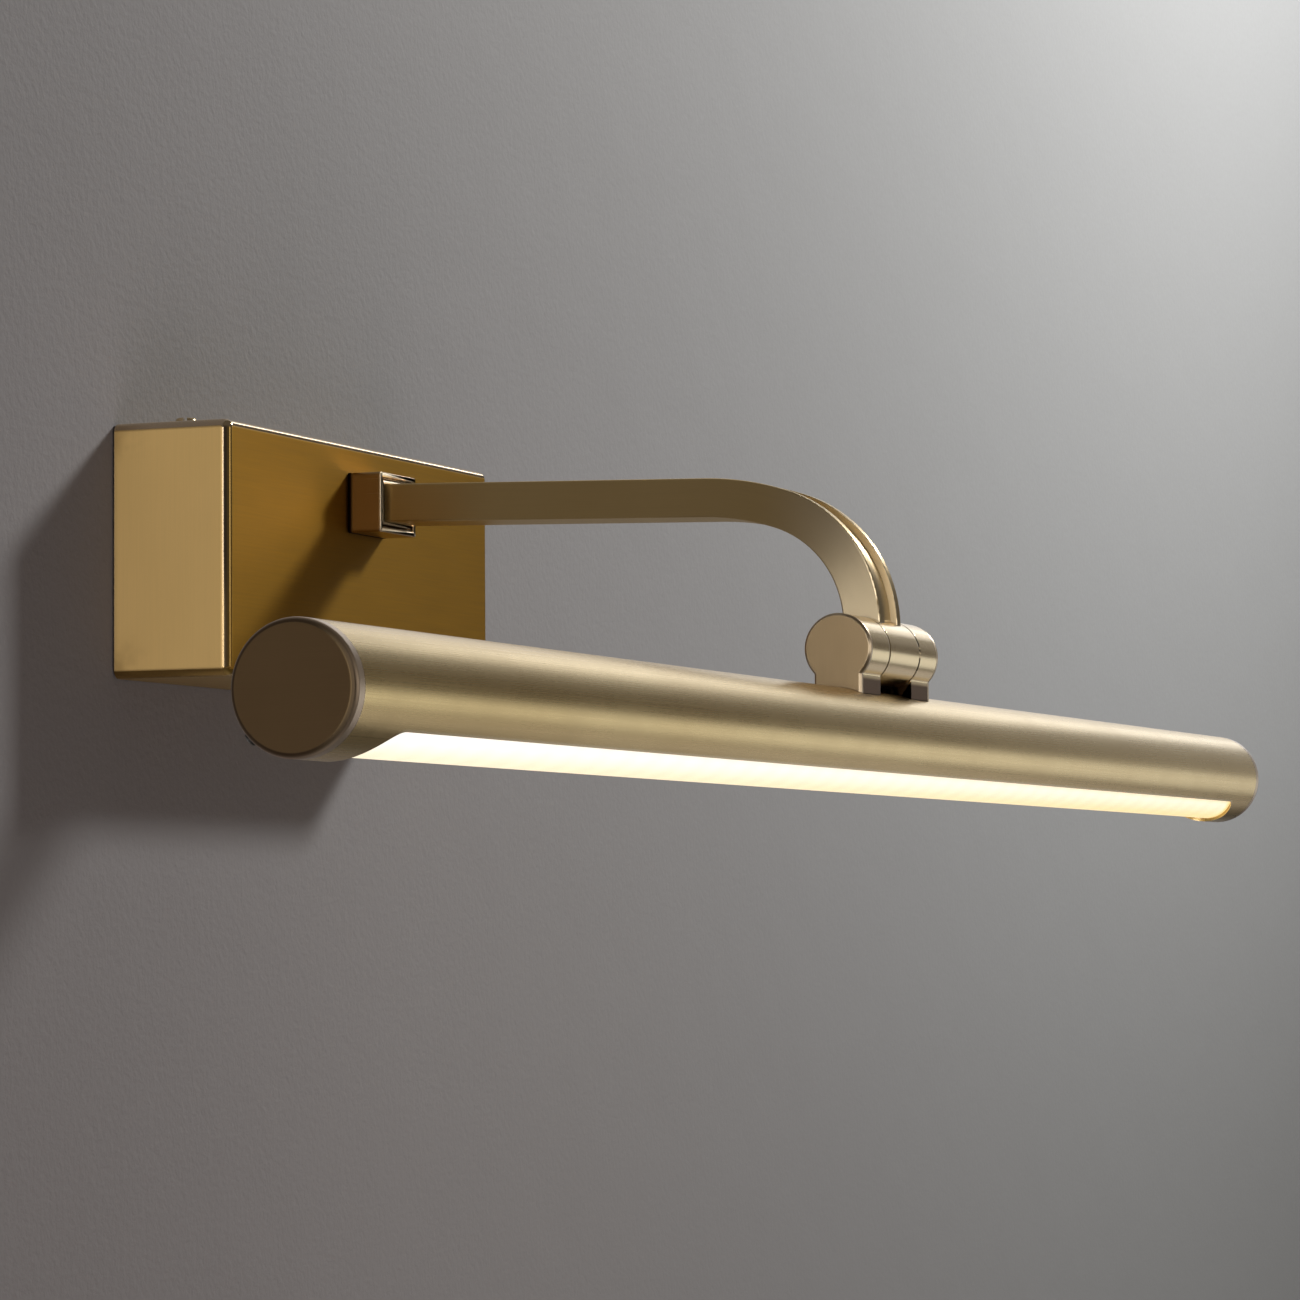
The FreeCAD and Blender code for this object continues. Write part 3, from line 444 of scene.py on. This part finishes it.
def board_material():
    """White solder mask with two bare tracks that show through it."""
    low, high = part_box("led_board")
    middle = (low.y + high.y) / 2
    s = Surface("board_mask", Roughness=0.3)
    off = s.math("ABSOLUTE", s.math("SUBTRACT", s.xyz(1), middle))
    track = s.math("MULTIPLY", s.smooth(off, 0.0031, 0.0034), s.smooth(off, 0.0052, 0.0049))
    beside = s.math("PINGPONG", s.math("ADD", s.xyz(0), PATTERN_SHIFT), TRACK_PITCH / 2)
    gap = s.smooth(beside, 0.0006, 0.0003)
    track = s.math("MULTIPLY", track, s.math("SUBTRACT", 1.0, gap))
    grain = s.noise((2500,) * 3, 2.0)
    drift = s.noise((40,) * 3, 2.0)
    base = s.mix(s.fit(drift, 0.3, 0.7), (0.88, 0.88, 0.86), (0.80, 0.81, 0.78))
    s.set("Base Color", s.mix(s.math("MULTIPLY", track, 0.35), base, (0.55, 0.50, 0.36)))
    s.set("Roughness", s.fit(grain, 0.3, 0.7, 0.25, 0.4))
    s.set("Normal", s.bump(s.math("ADD", track, s.math("MULTIPLY", grain, 0.2)), 0.00003, 0.6))
    return s.material


def aluminium_material():
    """Extruded aluminium: die lines along X, cloudy oxide, bright edges."""
    s = Surface("extruded_aluminium", Metallic=1.0, Anisotropic=0.5)
    s.brushed_along((1, 0, 0))
    grain = s.lines(0, 0.0003, 0.2)
    cloud = s.noise((20, 90, 90), 3.0)
    rub = s.edges(0.0005)
    base = s.mix(s.fit(cloud, 0.35, 0.7), (0.80, 0.80, 0.81), (0.62, 0.62, 0.64))
    base = s.mix(s.math("MULTIPLY", rub, 0.5), base, (0.93, 0.93, 0.93))
    s.set("Base Color", base)
    s.set("Roughness", s.fit(grain, 0.3, 0.7, 0.28, 0.45))
    s.set("Normal", s.bump(grain, 0.00002, 0.6))
    return s.material


def mains_pattern(s):
    """Two cores in one node: the one at the lower X is brown, the other blue."""
    low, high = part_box("mains_wires")
    return s.mix(s.smooth(s.xyz(0), (low.x + high.x) / 2 - 0.0002, (low.x + high.x) / 2 + 0.0002),
                 (0.14, 0.05, 0.025), (0.03, 0.10, 0.38))


def earth_pattern(s):
    """Green insulation with yellow stripes that wind round the core."""
    sweep = s.math("ADD", s.xyz(0), s.math("ADD", s.xyz(1), s.xyz(2)))
    stripe = s.smooth(s.math("SINE", s.math("MULTIPLY", sweep, 900.0)), -0.1, 0.1)
    return s.mix(stripe, (0.06, 0.30, 0.06), (0.78, 0.66, 0.05))


FINISH = {
    "satin_brass": brass("satin_brass_x", along(0, (1, 0, 0))),
    "bright_brass": brass("bright_brass", along(0, (1, 0, 0)), 0.20, 0.2,
                          (0.86, 0.70, 0.44), (0.80, 0.62, 0.36)),
    "zinc_steel": plated_steel("zinc_steel"),
    "dark_steel": plated_steel("black_oxide", (0.11, 0.105, 0.10), 0.42),
    "raw_aluminium": aluminium_material(),
    "frosted_lens": lens_material(),
    "circuit_white": board_material(),
    "led_phosphor": chip_material(),
    "white_plastic": moulded("white_plastic", (0.80, 0.80, 0.78), 0.4, sub=0.1),
    "terminal_plastic": moulded("terminal_plastic", (0.74, 0.73, 0.67), 0.38, sub=0.15),
    "black_plastic": moulded("black_rubber", (0.025, 0.025, 0.026), 0.55, dust=0.3),
    "lead_jacket": moulded("lead_jacket", (0.66, 0.65, 0.61), 0.42),
    "mains_brown_blue": moulded("mains_cores", (0.14, 0.08, 0.08), 0.36, pattern=mains_pattern),
    "earth_green": moulded("earth_core", (0.25, 0.35, 0.06), 0.36, pattern=earth_pattern),
    "washer_nylon": moulded("nylon_washer", (0.10, 0.09, 0.08), 0.5),
}
TURNED = along(0, (1, 0, 0), 0.00012, 0.012)
TURNED_LIGHT, TURNED_DARK = (0.74, 0.58, 0.34), (0.70, 0.54, 0.30)
# Nodes whose brushing or tone differs from the finish of their slot.
SPECIAL = {
    # The box's front takes a darker, deeper tone than its ends: painted shade.
    "box_cover": brass("satin_brass_box", box_brushing, 0.46, 0.65,
                       (0.76, 0.52, 0.21), (0.72, 0.49, 0.19), front=(0.45, 0.25, 0.029),
                       folds=1.0, streaks=1.0, marks_and_painted_light=box_marks),
    # The collar's rim towards the room takes a paler tone, a painted highlight, and its root a painted
    # contact shadow.
    "collar": brass("collar_brass", along(1, (0, 1, 0)), 0.24, 0.3,
                    (0.58, 0.38, 0.17), (0.52, 0.33, 0.14), front=(1.0, 0.88, 0.70),
                    rounding=0.0011, marks_and_painted_light=collar_root),
    # The arm's outer face towards the room takes a darker tone, painted shade, and its bends a painted
    # highlight.
    "arm_channel": brass("satin_brass_arm", arm_brushing, 0.34, 0.75,
                         front=(0.42, 0.33, 0.19), marks_and_painted_light=arm_painted_highlight),
    "arm_knuckle": brass("turned_brass", TURNED, 0.19, 0.5, TURNED_LIGHT, TURNED_DARK, rounding=0.0004),
    "foot_left": brass("turned_brass_foot", TURNED, 0.19, 0.5, TURNED_LIGHT, TURNED_DARK,
                       rounding=0.0004, marks_and_painted_light=foot_shade),
    "hinge_cheek_left": brass("satin_brass_z", along(2, (0, 0, 1), coarse=0.008), 0.34, 0.75,
                              (0.45, 0.33, 0.19), (0.40, 0.29, 0.16), rounding=0.0002, marks_and_painted_light=rim_painted_highlight),
    "end_cap_left": brass("satin_brass_cap", disc_brushing, 0.32, 0.75,
                          (0.58, 0.40, 0.20), (0.50, 0.34, 0.165), marks_and_painted_light=cap_rim),
}
for twin, like in (("foot_right", "foot_left"), ("hinge_cheek_right", "hinge_cheek_left"),
                   ("end_cap_right", "end_cap_left"), ("arm_cover_strip", "arm_channel"),
                   ("collar_liner", "collar")):
    SPECIAL[twin] = SPECIAL[like]

slot_of = {part["node"]: part["material_slot"] for part in frame["record"]["subparts"]}
for name, thing in nodes.items():
    finish = SPECIAL.get(name) or FINISH[slot_of[name]]
    if not thing.material_slots:
        thing.data.materials.append(finish)
    for place in thing.material_slots:
        place.material = finish


# ---------------------------------------------------------------------- stage
def sheet_mesh(name, corners, faces):
    mesh = bpy.data.meshes.new(name)
    mesh.from_pydata(corners, [], faces)
    made = bpy.data.objects.new(name, mesh)
    bpy.context.scene.collection.objects.link(made)
    return made


def clear_behind(s):
    """The sheet is see-through from behind, so that the object can be seen from every side."""
    clear = s.node("BsdfTransparent")
    show = s.node("MixShader", (s.geometry.outputs["Backfacing"], s.shader.outputs[0], clear))
    s.links.new(show, s.output.inputs["Surface"])


def plaster_wall():
    """A painted plaster wall with a hole behind the box."""
    low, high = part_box("wall_plate")
    x0, x1 = low.x + HOLE_INSET, high.x - HOLE_INSET
    z0, z1 = low.z + HOLE_INSET, high.z - HOLE_INSET
    far, y, base, top = STAGE_REACH, WALL_SHEET, FLOOR_HEIGHT, WALL_TOP
    corners = [(-far, y, base), (far, y, base), (far, y, top), (-far, y, top),
               (x0, y, z0), (x1, y, z0), (x1, y, z1), (x0, y, z1)]
    faces = [(0, 1, 5, 4), (1, 2, 6, 5), (2, 3, 7, 6), (3, 0, 4, 7)]
    wall = sheet_mesh("wall", corners, faces)
    s = Surface("wall_paint", Roughness=0.75, Specular_IOR_Level=0.25)
    stipple = s.noise((420, 420, 420), 3.0, 0.6)
    swell = s.noise((22, 22, 22), 2.0, 0.5)
    # Painted light and shade: the wall is lighter towards the upper right and darker at the far left and
    # towards the bottom.
    slant = s.math("SUBTRACT", s.xyz(0), s.math("MULTIPLY", s.xyz(2), -0.6))
    tint = s.smooth(slant, -0.35, 0.8)
    paint = s.mix(tint, (0.33, 0.32, 0.33), (0.35, 0.362, 0.372))
    paint = s.mix(s.smooth(s.xyz(0), 0.12, -0.14), paint, (0.86, 0.86, 0.86), "MULTIPLY")
    paint = s.mix(s.smooth(s.xyz(2), 0.0, -0.28), paint, (0.89, 0.885, 0.88), "MULTIPLY")
    paint = s.mix(s.fit(stipple, 0.3, 0.7, 0.0, 0.25), paint, (0.30, 0.30, 0.305))
    s.set("Base Color", paint)
    rolled = s.fit(s.xyz(0), -0.05, 0.45, 0.7, 0.22)
    relief = s.math("ADD", s.math("MULTIPLY", stipple, rolled), s.math("MULTIPLY", swell, 1.2))
    s.set("Normal", s.bump(relief, 0.0008, 0.5))
    clear_behind(s)
    wall.data.materials.append(s.material)
    return wall


def pale_floor():
    far, z = STAGE_REACH, FLOOR_HEIGHT
    corners = [(-far, -far, z), (far, -far, z), (far, far, z), (-far, far, z)]
    floor = sheet_mesh("floor", corners, [(0, 1, 2, 3)])
    s = Surface("floor_paint", Roughness=0.6)
    drift = s.noise((3, 3, 3), 3.0)
    s.set("Base Color", s.mix(s.fit(drift, 0.3, 0.7), (0.70, 0.69, 0.67), (0.66, 0.65, 0.63)))
    clear_behind(s)
    floor.data.materials.append(s.material)


wall = plaster_wall()
pale_floor()


# --------------------------------------------------------------------- lights
def panel(name, place, target, width, height, glow, tint=(1, 1, 1), diffuse=True):
    """A soft rectangular light of even brightness that points at a target and never shows itself."""
    data = bpy.data.lights.new(name, "AREA")
    data.shape = "RECTANGLE"
    data.size, data.size_y = width, height
    data.energy = glow * math.pi * width * height
    data.color = tint
    made = bpy.data.objects.new(name, data)
    bpy.context.scene.collection.objects.link(made)
    made.location = place
    aim = Vector(target) - Vector(place)
    made.rotation_euler = aim.to_track_quat("-Z", "Y").to_euler()
    made.visible_camera = False
    made.visible_diffuse = diffuse
    return made


def light_only(lamp, things):
    """The light reaches only these objects."""
    lit = bpy.data.collections.new(lamp.name + "_lit")
    for thing in things:
        lit.objects.link(thing)
    lamp.light_linking.receiver_collection = lit


centre = (cad_box[0] + cad_box[1]) / 2
box = [nodes["box_cover"]]
collars = [nodes["collar"], nodes["collar_liner"]]
cheeks = [nodes["hinge_cheek_left"], nodes["hinge_cheek_right"]]
caps = [nodes["end_cap_left"], nodes["end_cap_right"]]
WHITE = (1.0, 0.98, 0.98)

# The key lights the wall and most parts; the box has a warmer, weaker one in the same place.
key_place, key_aim, key_size = (1.10, -0.75, 0.85), (0.75, 0.0, 0.80), 0.22
own_key = box + caps + [nodes["tube_housing"]]
meshes = [thing for thing in bpy.context.scene.objects if thing.type == "MESH"]
key = panel("key", key_place, key_aim, key_size, key_size, 151, (1.0, 0.98, 0.95))
light_only(key, [thing for thing in meshes if thing not in own_key])
box_key = panel("box_key", key_place, key_aim, key_size, key_size, 47, (1.0, 0.98, 0.80))
front = panel("box_front", (0.1, -2.4, 0.1), centre, 0.5, 1.2, 1.0, (1.0, 0.92, 0.80), diffuse=False)
for lamp in (box_key, front):
    light_only(lamp, box)
fill = panel("wall_fill", (-0.55, -0.7, -0.9), (-0.2, 0.0, -0.1), 1.2, 0.8, 1.1, (1.0, 0.83, 0.83))
light_only(fill, [wall])
fill.visible_glossy = False

# Room reflections, which shape the bands on the tube, arm and hinge.
bars = [thing for thing in nodes.values() if thing not in box + collars]
room_level = panel("room_level", (3.0, -1.56, -0.27), centre, 1.7, 0.66, 0.84,
                   (0.95, 1.0, 1.02), diffuse=False)
room_low = panel("room_low", (2.8, -1.20, -1.05), centre, 1.6, 0.7, 0.42, (1.0, 1.0, 1.05), diffuse=False)
wall_wash = panel("wall_wash", (0.75, -0.004, 0.30), (0.75, -1.0, 0.30), 1.3, 0.5, 0.44,
                  (0.95, 0.97, 1.05), diffuse=False)
for lamp in (room_level, room_low, wall_wash):
    light_only(lamp, bars)

# Rims and edges.
rim = panel("room_rim", (3.0, -1.27, 0.34), centre, 1.0, 0.5, 1.5, (1.0, 0.97, 0.92), diffuse=False)
light_only(rim, collars)
rim_left = panel("rim_left", (-1.1, -2.2, 0.1), centre, 1.0, 1.0, 2.2, (1.0, 0.96, 0.92), diffuse=False)
light_only(rim_left, collars + cheeks)
edge = panel("box_edge", (1.45, -0.14, 0.77), centre, 0.12, 0.44, 5.0,
             (1.0, 0.96, 0.90), diffuse=False)
light_only(edge, box)

# Upright strips beyond the lamp's far end: name, Y, Z, width, height and glow.
strip_x = 1.45
for name, y, z, width, height, glow in (("strip_side", -0.09, 0.43, 0.16, 0.84, 1.65),
                                        ("strip_high", -0.27, 0.62, 0.20, 0.46, 1.15),
                                        ("strip_low", -0.27, 0.20, 0.20, 0.38, 0.28),
                                        ("strip_far", -0.50, 0.35, 0.26, 0.70, 0.20)):
    strip = panel(name, (strip_x, y, z), (0, y, z), width, height, glow, (0.91, 0.95, 1.01), diffuse=False)
    light_only(strip, bars)

# Soft light from the left, for the faces that look that way, and from the room for the caps.
left = panel("left_side", (-1.8, -0.16, 0.05), (0, -0.03, 0), 0.25, 0.9, 8.2, WHITE, diffuse=False)
light_only(left, box)
left_place = (-1.6, -0.55, 0.10)
left_low = panel("left_low", left_place, centre, 0.8, 0.8, 3.8, WHITE, diffuse=False)
light_only(left_low, [thing for thing in bars if thing not in caps])
left_soft = panel("left_soft", left_place, centre, 1.8, 1.8, 0.52, WHITE, diffuse=False)
cap_front = panel("cap_front", (0.3, -2.2, 0.1), centre, 2.2, 1.2, 0.35, (1.0, 0.95, 0.88), diffuse=False)
for lamp in (left_soft, cap_front):
    light_only(lamp, caps)
panel("rear", (-0.9, 1.6, 0.9), centre, 1.5, 1.2, 4)

world = bpy.data.worlds.new("studio")
world.use_nodes = True
bpy.context.scene.world = world
background = world.node_tree.nodes["Background"]
background.inputs["Color"].default_value = (1.0, 0.88, 0.74, 1)
background.inputs["Strength"].default_value = 0.095


# --------------------------------------------------------------------- camera
CAMERA_PLACE = (-1.15070, -0.59115, -0.09894)
# Azimuth, elevation and roll in degrees.
CAMERA_ANGLES = (-67.658, 3.399, 0.367)
FOCAL_LENGTH, SENSOR_WIDTH = 128.95, 36.0


def place_camera():
    """The photograph's viewing angle: from the left, a little below the lamp."""
    azimuth, elevation, roll = (math.radians(angle) for angle in CAMERA_ANGLES)
    flat = Vector((-math.sin(azimuth), math.cos(azimuth), 0))
    ahead = flat * math.cos(elevation) + Vector((0, 0, math.sin(elevation)))
    right = ahead.cross(Vector((0, 0, 1))).normalized()
    up = right.cross(ahead)
    tilt = Matrix.Rotation(roll, 3, ahead)
    right, up = tilt @ right, tilt @ up
    data = bpy.data.cameras.new("camera")
    data.lens, data.sensor_width = FOCAL_LENGTH, SENSOR_WIDTH
    data.clip_start, data.clip_end = 0.02, 50
    made = bpy.data.objects.new("camera", data)
    bpy.context.scene.collection.objects.link(made)
    turn = Matrix((right, up, -ahead)).transposed().to_4x4()
    made.matrix_world = Matrix.Translation(CAMERA_PLACE) @ turn
    bpy.context.scene.camera = made


place_camera()
bpy.context.scene.view_settings.view_transform = "Standard"
